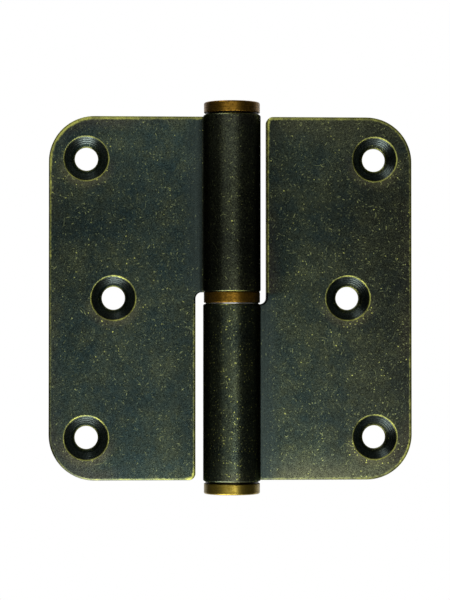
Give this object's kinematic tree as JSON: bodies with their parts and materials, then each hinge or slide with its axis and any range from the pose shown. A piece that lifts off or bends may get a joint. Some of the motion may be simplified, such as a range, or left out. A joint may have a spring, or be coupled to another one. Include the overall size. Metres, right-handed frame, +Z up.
{
  "type": "lift-off hinge",
  "caption": "Rolled-steel lift-off hinge with rounded leaves, brass button caps and a brass bearing ring; the door leaf swings on a fixed pin and lifts off it.",
  "frame": {"origin": "on the pin axis, midway between the two ends of the leaves", "axes": "+Z up along the pin towards the lift-off side, +X towards the frame leaf's outer edge, -Y out of the countersunk faces"},
  "size_m": [0.08, 0.0126, 0.0854],
  "materials": {
    "patinated_steel": "brass-plated sheet steel, blackened and rubbed back on the edges",
    "bright_steel": "ground",
    "turned_brass": "turned brass, darkened"
  },
  "bodies": {
    "frame_side": {"frame_leaf": "patinated_steel", "pin": "bright_steel", "bottom_cap": "turned_brass"},
    "ring": {"bearing_ring": "turned_brass"},
    "door_side": {"door_leaf": "patinated_steel", "top_cap": "turned_brass"}
  },
  "joints": [
    {"name": "swing", "type": "hinge", "parent": "frame_side", "child": "ring", "pos_m": [0, 0, 0], "axis": [0, 0, 1], "range_deg": [-100, 180]},
    {"name": "lift", "type": "slide", "parent": "ring", "child": "door_side", "axis": [0, 0, 1], "range_m": [0, 0.04]}
  ]
}
